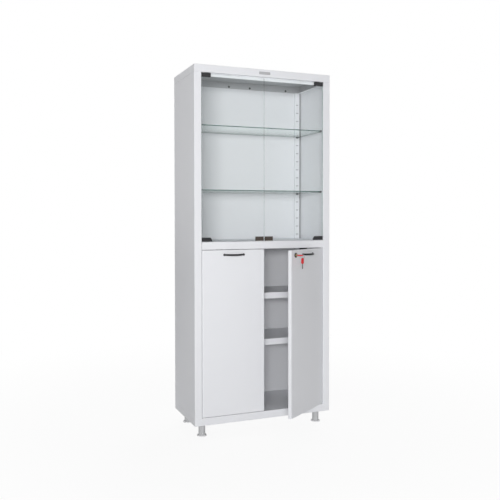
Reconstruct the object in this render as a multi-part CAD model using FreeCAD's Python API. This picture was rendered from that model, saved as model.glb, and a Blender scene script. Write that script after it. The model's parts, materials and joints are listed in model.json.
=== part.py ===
import FreeCAD, Part
import math
import os

from FreeCAD import Vector

# Medical cabinet: a folded steel carcass on four levelling feet, with two glass doors over two steel doors.
# Millimetres. The front faces -Y, +X is to the right, +Z is up.
# The origin is on the floor, below the centre of the carcass. The right steel door rests partly open.

# Carcass
body_width = 700.0
body_depth = 320.0
body_height = 1655.0
foot_height = 60.0
sheet = 1.0
fold_radius = 2.0
rim_height = 35.0
rim_return = 16.0
rim_lip_drop = 15.0
rim_lip_end = 30.0
stile_width = 35.0
stile_depth = 18.0
post_depth = 12.0
post_mouth = 7.0
deck_height = 846.0
rail_height = 36.0
rail_upturn = 15.0
deck_flange = 25.0
back_margin = 3.0
seat_play = 0.2
overrun = 1.0

# Shelf slots: the first slot of each section is measured up from that section's floor
slot_width = 14.0
slot_height = 5.0
upper_slot_rise = 23.0
upper_slot_pitch = 43.0
lower_slot_rise = 35.0
lower_slot_pitch = 45.0
slot_head_room = 40.0

# Shelves; the percentages say how far up its section's row of slots each one hangs
shelf_front_setback = 48.0
shelf_side_gap = 3.0
shelf_rear_gap = 0.5
glass_shelf_side_gap = 9.0
glass_shelf_thickness = 5.0
glass_shelf_edge = 0.8
glass_shelf_percent = {"lower": 31, "upper": 77}
steel_shelf_height = 30.0
steel_shelf_return = 12.0
steel_shelf_percent = {"lower": 40, "upper": 73}

# Shelf hooks
hook_side_play = 0.5
hook_thickness = 1.5
hook_top = 2.5
hook_drop = 5.0
hook_reach = 15.0
hook_stop_height = 6.0
hook_nib_height = 3.0
hook_tooth_depth = 6.0

# Door openings
door_gap = 2.0
meeting_gap = 3.0
pivot_inset = 10.0

# Pivot bushes and pins
bush_radius = 4.0
bush_length = 9.0
bush_flange_radius = 5.5
bush_flange_height = 0.8
pin_radius = 2.5
pin_clearance = 0.05
pin_shoulder_radius = 5.0
pin_shoulder_height = 1.0
pin_end_room = 1.0
pin_block_width = 10.0
pin_block_depth = 10.0
pin_block_height = 20.0

# Glass doors
pane_thickness = 4.0
pane_edge = 0.6
clamp_front_setback = 1.0
clamp_thickness = 12.0
clamp_height = 18.0
clamp_web = 3.0
top_clamp_length = 44.0
bottom_clamp_length = 50.0
clamp_chamfer_length = 9.0
clamp_chamfer_height = 12.0
clamp_edge = 1.2
clamp_screw_radius = 2.5
clamp_screw_spacing = 20.0
clamp_screw_head_radius = 3.6
clamp_screw_head_height = 1.4
strike_length = 40.0
strike_height = 20.0
strike_wall = 1.2
strike_inset = 2.5
strike_boss_length = 22.0
strike_boss_height = 8.0
strike_boss_depth = 0.6

# Steel doors
door_depth = 18.0
door_edge_radius = 4.0
door_rim_radius = 1.5
door_lip = 12.0
door_pivot_setback = 6.5
stiffener_width = 60.0
stiffener_depth = 12.0
stiffener_foot = 12.0
stiffener_margin = 70.0
open_angle = 34.0

# Bow handles
handle_drop = 23.0
handle_spacing = 96.0
handle_projection = 25.0
handle_thickness = 5.5
handle_section_height = 9.0
handle_boss_radius = 5.5
handle_boss_height = 5.0
handle_screw_radius = 2.0
handle_screw_bite = 4.0
handle_screw_head_radius = 4.0
handle_screw_head_height = 2.5

# Magnetic catches
catch_length = 32.0
catch_height = 15.0
catch_depth = 14.0
catch_gap = 0.3
catch_edge = 1.0
magnet_length = 24.0
magnet_height = 8.0
magnet_depth = 3.0
steel_catch_centre = 220.0
steel_catch_height = 17.0

# Slide bolt inside the left steel door
bolt_inset = 30.0
bolt_radius = 4.0
bolt_length = 62.0
bolt_setback = 10.0
bolt_travel = 12.0
bolt_clearance = 0.1
bolt_hole_clearance = 0.5
bolt_knob_radius = 2.5
bolt_knob_length = 12.0
bolt_knob_drop = 36.0
bolt_case_width = 24.0
bolt_case_height = 44.0
bolt_case_drop = 14.0
bolt_case_wall = 2.0
bolt_slot_clearance = 0.5

# Cam lock in the right steel door
lock_inset = 40.0
lock_ring_radius = 11.0
lock_ring_height = 3.0
lock_ring_edge = 1.0
lock_barrel_radius = 9.0
lock_barrel_length = 17.0
lock_nut_across = 24.0
lock_nut_height = 4.0
plug_radius = 6.0
plug_clearance = 0.05
plug_proud = 0.5
plug_tail = 2.0
cam_length = 40.0
cam_heel = 9.0
cam_height = 14.0
cam_thickness = 2.0
cam_screw_head_radius = 4.0
cam_screw_head_height = 2.5

# Keys
keyway_width = 6.4
keyway_height = 2.4
keyway_depth = 20.0
key_clearance = 0.2
key_blade_width = 6.0
key_blade_height = 2.0
key_neck = 6.5
key_tang = 10.0
key_head_length = 27.5
key_head_width = 18.0
key_head_thickness = 5.0
key_head_corner = 7.5
key_head_edge = 1.2
key_hole_length = 9.0
key_hole_width = 5.0
key_hole_rim = 3.2
key_hole_edge = 1.0
spare_blade_length = 23.0
spare_hang_gap = 0.7
ring_radius = 9.5
ring_wire_radius = 0.7
ring_rest_gap = 0.3

# Feet
foot_inset = 50.0
foot_tube_radius = 15.5
foot_tube_wall = 2.0
foot_nut_height = 12.0
foot_plate_size = 60.0
foot_plate_thickness = 2.0
foot_base_radius = 22.0
foot_base_height = 5.0
foot_base_edge = 1.5
foot_stud_radius = 5.0
foot_stud_length = 38.0
foot_stud_clearance = 0.1

# Back panel rivets and wall-fixing holes
rivet_radius = 2.0
rivet_head_radius = 4.0
rivet_head_height = 1.2
rivet_tail_radius = 2.8
rivet_tail_height = 2.0
rivets_per_post = 7
rivet_margin = 60.0
wall_hole_radius = 3.5
wall_hole_outer = 265.0
wall_hole_inner = 58.0
wall_hole_rise = 9.5

# Name plate, left blank
plate_length = 57.0
plate_height = 13.0
plate_thickness = 0.8
plate_corner = 1.5

# Levels and planes that the pieces share
half_width = body_width / 2
front = -body_depth / 2
rear = body_depth / 2
carcass_rear = rear - sheet
under_body = foot_height
roof = foot_height + body_height
wall_low = under_body + rim_height
wall_high = roof - rim_height
deck_top = under_body + deck_height
rail_low = deck_top - rail_height
opening_half = half_width - stile_width
stile_back = front + stile_depth
post_front = carcass_rear - post_depth
post_centre = half_width - stile_width / 2
side_inner = half_width - sheet
post_lip_end = side_inner - post_mouth
slot_centre = (opening_half + post_lip_end) / 2
hook_width = slot_width - hook_side_play * 2
leaf_outer = opening_half - door_gap
leaf_inner = meeting_gap / 2
pivot_x = leaf_outer - pivot_inset
door_low = wall_low + door_gap
door_high = rail_low - door_gap
handle_level = door_high - handle_drop
handle_x = (leaf_outer + leaf_inner) / 2
door_pivot_y = front + door_pivot_setback
door_back = front + door_depth
glass_low = deck_top + door_gap
glass_high = wall_high - door_gap
glass_mid_y = front + clamp_front_setback + clamp_thickness / 2
top_clamp_low = glass_high - clamp_height
shelf_front = front + shelf_front_setback
shelf_rear = post_front - hook_thickness - shelf_rear_gap


def box(low, high):
    """Box between two opposite corners."""
    return Part.makeBox(high[0] - low[0], high[1] - low[1], high[2] - low[2], Vector(*low))


def rod(radius, start, along):
    """Cylinder of a radius from a start point along a vector."""
    return Part.makeCylinder(radius, along.Length, start, along)


def edges_along(shape, axis):
    """Straight edges that run along an axis."""
    found = []
    for edge in shape.Edges:
        way = edge.Vertexes[-1].Point - edge.Vertexes[0].Point
        if way.Length > 0 and abs(way.dot(axis)) > way.Length * (1 - 1e-6):
            found.append(edge)
    return found


def rounded_box(low, high, corner, edge=0.0):
    """Box with upright corners of one radius and, where given, rounded upper and lower rims."""
    solid = box(low, high)
    solid = solid.makeFillet(corner, edges_along(solid, Vector(0, 0, 1)))
    if edge > 0:
        level = [e for e in solid.Edges if abs(e.BoundBox.ZLength) < edge / 2]
        solid = solid.makeFillet(edge, level)
    return solid


def grown(corner, amount):
    """A corner moved by the same amount along each axis."""
    return tuple(value + amount for value in corner)


def hollow_box(low, high, wall, corner, edge):
    """Closed shell of sheet metal with rounded bends."""
    outer = rounded_box(low, high, corner, edge)
    inner = rounded_box(grown(low, wall), grown(high, -wall), corner - wall, max(edge - wall, edge / 4))
    return outer.cut(inner)


def rounded_path(points, radius):
    """Edges through the points, with a tangent arc at each corner."""
    edges = []
    start = points[0]
    for before, corner, after in zip(points, points[1:], points[2:]):
        arriving = (corner - before).normalize()
        leaving = (after - corner).normalize()
        half_turn = arriving.getAngle(leaving) / 2
        reach = radius * math.tan(half_turn)
        arc_start = corner - arriving * reach
        arc_end = corner + leaving * reach
        inward = (leaving - arriving).normalize()
        middle = corner + inward * (radius / math.cos(half_turn) - radius)
        edges.append(Part.LineSegment(start, arc_start).toShape())
        edges.append(Part.Arc(arc_start, middle, arc_end).toShape())
        start = arc_end
    edges.append(Part.LineSegment(start, points[-1]).toShape())
    return edges


def inset_path(points, thickness, normal):
    """The points moved to the left of the path, as seen against the normal, with square corners kept."""
    ways = [(after - before).normalize() for before, after in zip(points, points[1:])]
    lefts = [normal.cross(way) for way in ways]
    moved = [points[0] + lefts[0] * thickness]
    for corner, first, second in zip(points[1:], lefts, lefts[1:]):
        moved.append(corner + (first + second) * thickness)
    moved.append(points[-1] + lefts[-1] * thickness)
    return moved


def folded_sheet(points, run, thickness, radius):
    """Sheet folded along a path of square left-hand bends on its outer side, drawn out along run."""
    normal = Vector(run).normalize()
    inner = inset_path(points, thickness, normal)
    edges = rounded_path(points, radius) + [Part.LineSegment(points[-1], inner[-1]).toShape()]
    edges += rounded_path(inner[::-1], radius - thickness)
    edges.append(Part.LineSegment(inner[0], points[0]).toShape())
    return Part.Face(Part.Wire(Part.__sortEdges__(edges))).extrude(run)


def mirrored(shape):
    """The same piece on the other side of the cabinet."""
    return shape.mirror(Vector(0, 0, 0), Vector(1, 0, 0))


def both_sides(shapes):
    """Right-hand pieces with their left-hand mirrors."""
    return shapes + [mirrored(shape) for shape in shapes]


def swung(shape):
    """A piece of the right steel door, turned from closed to the open rest position."""
    turned = shape.copy()
    turned.rotate(Vector(pivot_x, door_pivot_y, 0), Vector(0, 0, 1), open_angle)
    return turned


def drilled(shape, holes):
    """Shape with a list of hole solids cut out of it."""
    return shape.cut(Part.makeCompound(holes))


def save(name, *solids):
    """Write one named piece, or a group of like pieces, to its own file."""
    shape = solids[0] if len(solids) == 1 else Part.makeCompound(list(solids))
    shape.exportStep("parts/" + name + ".step")


# Slots and shelf seats


def slot_levels(section_floor, section_top, rise, pitch):
    """Heights of the slots in one section."""
    count = int((section_top - slot_head_room - section_floor - rise) / pitch) + 1
    return [section_floor + rise + number * pitch for number in range(count)]


upper_slots = slot_levels(deck_top, wall_high, upper_slot_rise, upper_slot_pitch)
lower_slots = slot_levels(wall_low, rail_low, lower_slot_rise, lower_slot_pitch)


def shelf_seat(slots, percent):
    """Height of the hook tongues hung in the slot nearest to a percentage of the way up the row."""
    return slots[round(percent * (len(slots) - 1) / 100)]


glass_seats = {name: shelf_seat(upper_slots, percent) for name, percent in glass_shelf_percent.items()}
steel_seats = {name: shelf_seat(lower_slots, percent) for name, percent in steel_shelf_percent.items()}

# Carcass sheets


def slot_cut(level, lip_front):
    """Cut for one shelf slot through a post lip whose front face is at lip_front."""
    return box(
        (slot_centre - slot_width / 2, lip_front - overrun, level - slot_height / 2),
        (slot_centre + slot_width / 2, lip_front + sheet + overrun, level + slot_height / 2),
    )


def rivet_places():
    """Places of the back panel's rivets: a column up each rear post, on the back panel's inner face."""
    pitch = (wall_high - wall_low - rivet_margin * 2) / (rivets_per_post - 1)
    levels = [wall_low + rivet_margin + pitch * step for step in range(rivets_per_post)]
    return [Vector(post_centre, carcass_rear, level) for level in levels]


def side_panel():
    """Right side, folded from one sheet: wall, boxed stile in front and boxed, slotted post behind."""
    plan = [
        (post_lip_end, stile_back),
        (opening_half, stile_back),
        (opening_half, front),
        (half_width, front),
        (half_width, carcass_rear),
        (opening_half, carcass_rear),
        (opening_half, post_front),
        (post_lip_end, post_front),
    ]
    points = [Vector(x, y, wall_low) for x, y in plan]
    panel = folded_sheet(points, Vector(0, 0, wall_high - wall_low), sheet, fold_radius)
    cuts = [slot_cut(level, stile_back - sheet) for level in upper_slots + lower_slots]
    cuts += [slot_cut(level, post_front) for level in upper_slots + lower_slots]
    reach = Vector(0, sheet + overrun * 2, 0)
    cuts += [rod(rivet_radius, place - Vector(0, sheet + overrun, 0), reach) for place in rivet_places()]
    return drilled(panel, cuts)


def wall_holes(depth_start, depth_end):
    """Cuts for the four wall-fixing holes near the top of the back."""
    level = wall_high + wall_hole_rise
    places = [-wall_hole_outer, -wall_hole_inner, wall_hole_inner, wall_hole_outer]
    reach = Vector(0, depth_end - depth_start, 0)
    return [rod(wall_hole_radius, Vector(x, depth_start, level), reach) for x in places]


def pivot_holes(y, level, radius):
    """Upright cuts for the left and right pivots through a sheet whose lower face is at level."""
    reach = Vector(0, 0, sheet + overrun * 2)
    return [rod(radius, Vector(x, y, level - overrun), reach) for x in (-pivot_x, pivot_x)]


def top_cap():
    """Roof tray on the walls, its lower rims turned in, with a lip hanging behind the glass doors."""
    low = (-half_width, front, wall_high)
    high = (half_width, carcass_rear, roof)
    shell = hollow_box(low, high, sheet, fold_radius, fold_radius)
    mouth = box(
        (-half_width + rim_return, stile_back, wall_high - overrun),
        (half_width - rim_return, carcass_rear - sheet, wall_high + sheet + overrun),
    )
    lip_half = opening_half - rim_lip_end
    lip = box(
        (-lip_half, stile_back - sheet, wall_high - rim_lip_drop),
        (lip_half, stile_back, wall_high + sheet),
    )
    holes = pivot_holes(glass_mid_y, wall_high, bush_radius)
    holes += wall_holes(carcass_rear - sheet - overrun, carcass_rear + overrun)
    return drilled(shell.cut(mouth).fuse(lip).removeSplitter(), holes)


def bottom_pan():
    """Floor tray turned upside down, with turned-in lower rims, carrying the walls and the feet."""
    low = (-half_width, front, under_body)
    high = (half_width, carcass_rear, wall_low)
    shell = hollow_box(low, high, sheet, fold_radius, fold_radius)
    mouth = box(
        (-half_width + rim_return, front + rim_return, under_body - overrun),
        (half_width - rim_return, carcass_rear - rim_return, under_body + sheet + overrun),
    )
    return drilled(shell.cut(mouth), pivot_holes(door_pivot_y, wall_low - sheet, bush_radius))


def middle_deck():
    """Floor of the glass section and front rail, folded from one sheet with a wing at each side."""
    half_run = opening_half - seat_play
    deck_rear = carcass_rear - seat_play
    side = [
        (deck_rear, deck_top - deck_flange),
        (deck_rear, deck_top),
        (front, deck_top),
        (front, rail_low),
        (stile_back, rail_low),
        (stile_back, rail_low + rail_upturn),
    ]
    points = [Vector(-half_run, y, z) for y, z in side]
    deck = folded_sheet(points, Vector(half_run * 2, 0, 0), sheet, fold_radius)
    wing_outer = side_inner - seat_play
    wing_front = stile_back + seat_play
    wing_rear = post_front - seat_play
    wing = box((half_run, wing_front, deck_top - sheet), (wing_outer, wing_rear, deck_top))
    flange = box((wing_outer - sheet, wing_front, deck_top - deck_flange), (wing_outer, wing_rear, deck_top))
    deck = deck.fuse(both_sides([wing.fuse(flange)])).removeSplitter()
    holes = pivot_holes(glass_mid_y, deck_top - sheet, bush_radius)
    holes += pivot_holes(door_pivot_y, rail_low, bush_radius)
    bolt_reach = Vector(0, 0, sheet + overrun * 2)
    bolt_start = Vector(bolt_x, bolt_y, rail_low - overrun)
    holes.append(rod(bolt_radius + bolt_hole_clearance, bolt_start, bolt_reach))
    return drilled(deck, holes)


def back_panel():
    """Flat back sheet riveted over the rear posts and the rims of the roof and floor trays."""
    low = (-half_width + back_margin, carcass_rear, under_body + back_margin)
    high = (half_width - back_margin, rear, roof - back_margin)
    reach = Vector(0, sheet + overrun * 2, 0)
    places = both_sides([Part.Vertex(place) for place in rivet_places()])
    holes = [rod(rivet_radius, place.Point - Vector(0, overrun, 0), reach) for place in places]
    holes += wall_holes(carcass_rear - overrun, rear + overrun)
    return drilled(box(low, high), holes)


def back_rivet(place):
    """Blind rivet through the back panel and a rear post, head outside."""
    tail_start = place - Vector(0, sheet, 0)
    shank = rod(rivet_radius, tail_start, Vector(0, sheet * 2, 0))
    head = rod(rivet_head_radius, place + Vector(0, sheet, 0), Vector(0, rivet_head_height, 0))
    rim = [edge for edge in head.Edges if edge.BoundBox.YMin > place.y + sheet + rivet_head_height / 2]
    head = head.makeFillet(rivet_head_height / 2, rim)
    tail = rod(rivet_tail_radius, tail_start, Vector(0, -rivet_tail_height, 0))
    return shank.fuse([head, tail]).removeSplitter()


# Shelves and hooks


def glass_shelf(seat):
    """Glass plate with ground edges."""
    half = side_inner - glass_shelf_side_gap
    plate = box((-half, shelf_front, seat), (half, shelf_rear, seat + glass_shelf_thickness))
    return plate.makeChamfer(glass_shelf_edge, plate.Edges)


def steel_shelf(seat):
    """Folded steel tray turned upside down, with turned-in lower rims."""
    half = side_inner - shelf_side_gap
    low = (-half, shelf_front, seat)
    high = (half, shelf_rear, seat + steel_shelf_height)
    shell = hollow_box(low, high, sheet, fold_radius, fold_radius)
    mouth = box(
        (-half + steel_shelf_return, shelf_front + steel_shelf_return, seat - overrun),
        (half - steel_shelf_return, shelf_rear - steel_shelf_return, seat + sheet + overrun),
    )
    return shell.cut(mouth)


def shelf_hook(seat, lip, facing, shelf_edge, has_stop):
    """Bent hook on a post lip, facing the rear (+1) or the front (-1), its tongue under the shelf."""
    left = slot_centre - hook_width / 2
    right = slot_centre + hook_width / 2
    tongue_end = shelf_edge + facing * hook_reach
    nib_end = lip - facing * (sheet + seat_play + hook_thickness)

    def slab(y_one, y_two, z_low, z_high):
        return box((left, min(y_one, y_two), z_low), (right, max(y_one, y_two), z_high))

    pieces = [slab(lip, lip + facing * hook_thickness, seat - hook_drop, seat + hook_top)]
    pieces.append(slab(lip, tongue_end, seat - hook_thickness, seat))
    pieces.append(slab(lip, nib_end, seat - hook_nib_height / 2, seat + hook_nib_height / 2))
    tooth_front = lip - facing * (sheet + seat_play)
    pieces.append(slab(tooth_front, nib_end, seat - hook_tooth_depth, seat + hook_nib_height / 2))
    if has_stop:
        stop_rear = shelf_edge - facing * seat_play
        stop_front = stop_rear - facing * hook_thickness
        pieces.append(slab(stop_rear, stop_front, seat - hook_thickness, seat + hook_stop_height))
    return pieces[0].fuse(pieces[1:]).removeSplitter()


def shelf_hooks(seats):
    """Four hooks for each shelf seat."""
    hooks = []
    for seat in seats:
        front_hook = shelf_hook(seat, stile_back, 1, shelf_front, True)
        rear_hook = shelf_hook(seat, post_front, -1, shelf_rear, False)
        hooks += both_sides([front_hook, rear_hook])
    return hooks


# Pivots


def pivot_bush(x, y, face, outward):
    """Flanged bush in a sheet, its flange standing up (+1) or hanging down (-1) from the face."""
    up = Vector(0, 0, outward)
    at_face = Vector(x, y, face)
    flange = rod(bush_flange_radius, at_face, up * bush_flange_height)
    body = rod(bush_radius, at_face, up * -bush_length)
    bore_start = at_face + up * (bush_flange_height + overrun)
    bore = rod(pin_radius + pin_clearance, bore_start, up * -(bush_length + bush_flange_height + overrun * 2))
    return flange.fuse(body).removeSplitter().cut(bore)


def pivot_pin(x, y, leaf_face, outward, inside):
    """Shouldered pin that stands out of a leaf's edge, up (+1) or down (-1), and is held inside it."""
    way = Vector(0, 0, outward)
    base = Vector(x, y, leaf_face)
    length = door_gap + bush_length - pin_end_room
    shoulder = rod(pin_shoulder_radius, base, way * pin_shoulder_height)
    shaft = rod(pin_radius, base - way * inside, way * (inside + length))
    return shaft.fuse(shoulder).removeSplitter()


# Glass doors, made on the right and mirrored


def pane():
    """Toughened glass leaf with softly ground edges."""
    low = (leaf_inner, glass_mid_y - pane_thickness / 2, glass_low + clamp_web)
    high = (leaf_outer, glass_mid_y + pane_thickness / 2, glass_high - clamp_web)
    plate = box(low, high)
    return plate.makeChamfer(pane_edge, edges_along(plate, Vector(0, 0, 1)))


def glass_clearance():
    """Space that the glass leaf takes out of the clamps and strike plates."""
    low = (leaf_inner - overrun, glass_mid_y - pane_thickness / 2, glass_low + clamp_web)
    return box(low, (leaf_outer + overrun, glass_mid_y + pane_thickness / 2, glass_high - clamp_web))


def clamp_screw_places(outer_end, length, level):
    """Centres of a clamp's two grub screws on its inner cheek."""
    middle = outer_end - length / 2
    half = clamp_screw_spacing / 2
    inner_face = glass_mid_y + clamp_thickness / 2
    return [Vector(middle + side * half, inner_face, level) for side in (-1, 1)]


def clamp_block(length, low, chamfered):
    """Pivot clamp that grips a corner of the glass from both sides."""
    y_front = glass_mid_y - clamp_thickness / 2
    y_rear = glass_mid_y + clamp_thickness / 2
    inner_end = leaf_outer - length
    if chamfered:
        outline = [
            Vector(leaf_outer, y_front, low),
            Vector(inner_end, y_front, low),
            Vector(inner_end, y_front, low + clamp_height - clamp_chamfer_height),
            Vector(inner_end + clamp_chamfer_length, y_front, low + clamp_height),
            Vector(leaf_outer, y_front, low + clamp_height),
        ]
        face = Part.Face(Part.makePolygon(outline + outline[:1]))
        block = face.extrude(Vector(0, clamp_thickness, 0))
    else:
        block = box((inner_end, y_front, low), (leaf_outer, y_rear, low + clamp_height))
    front_edges = [edge for edge in block.Edges if edge.BoundBox.YMax < y_front + overrun]
    block = block.makeFillet(clamp_edge, front_edges)
    return block.cut(glass_clearance())


def clamp_with_holes(length, low, chamfered, web_level):
    """Clamp drilled for its pivot pin and its two screws."""
    block = clamp_block(length, low, chamfered)
    holes = [rod(pin_radius, Vector(pivot_x, glass_mid_y, web_level), Vector(0, 0, clamp_web))]
    cheek = (clamp_thickness - pane_thickness) / 2
    for place in clamp_screw_places(leaf_outer, length, low + clamp_height / 2):
        holes.append(rod(clamp_screw_radius, place, Vector(0, -cheek, 0)))
    return drilled(block, holes)


def clamp_screws():
    """Four screws of one leaf, pressing on the glass from inside."""
    cheek = (clamp_thickness - pane_thickness) / 2
    screws = []
    for length, low in ((bottom_clamp_length, glass_low), (top_clamp_length, top_clamp_low)):
        for place in clamp_screw_places(leaf_outer, length, low + clamp_height / 2):
            shank = rod(clamp_screw_radius, place, Vector(0, -cheek, 0))
            head = rod(clamp_screw_head_radius, place, Vector(0, clamp_screw_head_height, 0))
            screws.append(shank.fuse(head).removeSplitter())
    return screws


def strike_plate():
    """Folded metal keeper on the lower inner corner of the glass, with a raised pad in front."""
    start = leaf_inner + strike_inset
    y_front = glass_mid_y - pane_thickness / 2 - strike_wall
    y_rear = glass_mid_y + pane_thickness / 2 + strike_wall
    top = glass_low + strike_height
    shell = box((start, y_front, glass_low), (start + strike_length, y_rear, top))
    middle_x = start + strike_length / 2
    middle_z = glass_low + strike_height / 2
    pad = box(
        (middle_x - strike_boss_length / 2, y_front - strike_boss_depth, middle_z - strike_boss_height / 2),
        (middle_x + strike_boss_length / 2, y_front, middle_z + strike_boss_height / 2),
    )
    return shell.fuse(pad).removeSplitter().cut(glass_clearance())


def glass_pivots():
    """Upper and lower pins of one glass leaf."""
    lower = pivot_pin(pivot_x, glass_mid_y, glass_low, -1, clamp_web)
    upper = pivot_pin(pivot_x, glass_mid_y, glass_high, 1, clamp_web)
    return [lower, upper]


# Steel doors, made on the right in the closed position


def steel_door():
    """Folded door pan with turned-in rear lips."""
    low = (leaf_inner, front, door_low)
    high = (leaf_outer, door_back, door_high)
    shell = hollow_box(low, high, sheet, door_edge_radius, door_rim_radius)
    mouth = box(
        (leaf_inner + door_lip, door_back - sheet - overrun, door_low + door_lip),
        (leaf_outer - door_lip, door_back + overrun, door_high - door_lip),
    )
    reach = Vector(0, 0, sheet + overrun * 2)
    holes = [rod(pin_radius, Vector(pivot_x, door_pivot_y, door_low - overrun), reach)]
    holes.append(rod(pin_radius, Vector(pivot_x, door_pivot_y, door_high - sheet - overrun), reach))
    holes += [rod(handle_screw_radius, place, Vector(0, sheet, 0)) for place in handle_feet()]
    return drilled(shell.cut(mouth), holes)


def steel_door_pivot(leaf_face, way):
    """Pin on a block welded behind the door's folded edge at leaf_face, pointing up (+1) or down (-1)."""
    pin = pivot_pin(pivot_x, door_pivot_y, leaf_face, way, sheet)
    seat = leaf_face - way * sheet
    far_end = seat - way * pin_block_height
    block = box(
        (pivot_x - pin_block_width / 2, door_pivot_y - pin_block_depth / 2, min(seat, far_end)),
        (pivot_x + pin_block_width / 2, door_pivot_y + pin_block_depth / 2, max(seat, far_end)),
    )
    return pin.fuse(block).removeSplitter()


def steel_door_pivots():
    """Upper and lower pins of one steel door."""
    return [steel_door_pivot(door_low, -1), steel_door_pivot(door_high, 1)]


def door_stiffener():
    """Hat-section rib fixed up the middle of the door's inner face."""
    inner_face = front + sheet
    half = stiffener_width / 2
    crown = inner_face + stiffener_depth
    plan = [
        (-half, inner_face),
        (-half + stiffener_foot, inner_face),
        (-half + stiffener_foot, crown - sheet),
        (half - stiffener_foot, crown - sheet),
        (half - stiffener_foot, inner_face),
        (half, inner_face),
        (half, inner_face + sheet),
        (half - stiffener_foot + sheet, inner_face + sheet),
        (half - stiffener_foot + sheet, crown),
        (-half + stiffener_foot - sheet, crown),
        (-half + stiffener_foot - sheet, inner_face + sheet),
        (-half, inner_face + sheet),
    ]
    points = [Vector(handle_x + x, y, door_low + stiffener_margin) for x, y in plan]
    face = Part.Face(Part.makePolygon(points + points[:1]))
    return face.extrude(Vector(0, 0, door_high - door_low - stiffener_margin * 2))


def handle_feet():
    """Centres of a handle's two feet on the door's front face."""
    half = handle_spacing / 2
    return [Vector(handle_x + side * half, front, handle_level) for side in (-1, 1)]


def bow_handle():
    """Arched bar on two round feet, drilled from behind for its screws."""
    half = handle_spacing / 2
    bow_radius = (half * half + handle_projection * handle_projection) / (handle_projection * 2)
    centre = Vector(handle_x, front - handle_projection + bow_radius, handle_level)
    bend = handle_thickness / 2
    straight = handle_section_height / 2 - bend
    crown = Vector(handle_x, front - handle_projection, handle_level)
    inside = crown + Vector(0, bend, 0)
    outside = crown - Vector(0, bend, 0)
    rise = Vector(0, 0, straight)
    section = [
        Part.LineSegment(outside - rise, outside + rise).toShape(),
        Part.Arc(outside + rise, crown + rise + Vector(0, 0, bend), inside + rise).toShape(),
        Part.LineSegment(inside + rise, inside - rise).toShape(),
        Part.Arc(inside - rise, crown - rise - Vector(0, 0, bend), outside - rise).toShape(),
    ]
    bar = Part.Face(Part.Wire(section)).revolve(centre, Vector(0, 0, 1), 180)
    bar.rotate(centre, Vector(0, 0, 1), -90)
    pieces = [bar]
    for foot in handle_feet():
        boss = rod(handle_boss_radius, foot, Vector(0, -handle_boss_height, 0))
        rim = [edge for edge in boss.Edges if edge.BoundBox.YMax < front - handle_boss_height / 2]
        pieces.append(boss.makeFillet(handle_boss_radius / 4, rim))
    bow = pieces[0].fuse(pieces[1:]).removeSplitter()
    behind = box(
        (handle_x - body_width, front, handle_level - body_width),
        (handle_x + body_width, front + body_width, handle_level + body_width),
    )
    holes = [rod(handle_screw_radius, foot, Vector(0, -handle_screw_bite, 0)) for foot in handle_feet()]
    return drilled(bow.cut(behind), holes)


def handle_screws():
    """Two pan-head screws from inside the door."""
    screws = []
    inner = Vector(0, sheet, 0)
    for foot in handle_feet():
        shank = rod(handle_screw_radius, foot + inner, Vector(0, -sheet - handle_screw_bite, 0))
        head = rod(handle_screw_head_radius, foot + inner, Vector(0, handle_screw_head_height, 0))
        screws.append(shank.fuse(head).removeSplitter())
    return screws


# Catches


def glass_catch():
    """Magnet case on the deck behind the right strike plate, and the magnet in its face."""
    strike_rear = glass_mid_y + pane_thickness / 2 + strike_wall
    y_front = strike_rear + catch_gap
    centre = leaf_inner + strike_inset + strike_length / 2
    case = box(
        (centre - catch_length / 2, y_front, deck_top),
        (centre + catch_length / 2, y_front + catch_depth, deck_top + catch_height),
    )
    case = case.makeFillet(catch_edge, edges_along(case, Vector(0, 0, 1)))
    middle = deck_top + catch_height / 2
    magnet = box(
        (centre - magnet_length / 2, y_front, middle - magnet_height / 2),
        (centre + magnet_length / 2, y_front + magnet_depth, middle + magnet_height / 2),
    )
    return case.cut(magnet), magnet


def steel_catch():
    """Magnet case on the rail's upturned lip, behind the top of the right steel door, and its magnet."""
    y_front = door_back + catch_gap
    low = door_high - steel_catch_height
    case = box(
        (steel_catch_centre - catch_length / 2, y_front, low),
        (steel_catch_centre + catch_length / 2, y_front + catch_depth, rail_low + rail_upturn),
    )
    seat = box(
        (steel_catch_centre - catch_length / 2, stile_back, rail_low),
        (steel_catch_centre + catch_length / 2, y_front, rail_low + rail_upturn),
    )
    case = case.fuse(seat).removeSplitter()
    middle = low + magnet_height
    magnet = box(
        (steel_catch_centre - magnet_length / 2, y_front, middle - magnet_height / 2),
        (steel_catch_centre + magnet_length / 2, y_front + magnet_depth, middle + magnet_height / 2),
    )
    return case.cut(magnet), magnet


# Slide bolt of the left steel door

bolt_x = -leaf_inner - bolt_inset
bolt_y = front + bolt_setback
bolt_top = door_high - seat_play


def bolt_case():
    """Guide block on the door's inner face, bored for the bolt and slotted for its knob."""
    top = door_high - bolt_case_drop
    low = top - bolt_case_height
    rear_face = bolt_y + bolt_radius + bolt_case_wall
    block = box(
        (bolt_x - bolt_case_width / 2, front + sheet, low),
        (bolt_x + bolt_case_width / 2, rear_face, top),
    )
    bore_reach = Vector(0, 0, bolt_case_height + overrun * 2)
    bore = rod(bolt_radius + bolt_clearance, Vector(bolt_x, bolt_y, low - overrun), bore_reach)
    knob_level = bolt_top - bolt_knob_drop
    slot_half = bolt_knob_radius + bolt_slot_clearance
    slot = box(
        (bolt_x - slot_half, bolt_y, knob_level - slot_half),
        (bolt_x + slot_half, rear_face + overrun, knob_level + bolt_travel + slot_half),
    )
    return block.cut(bore).cut(slot)


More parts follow.
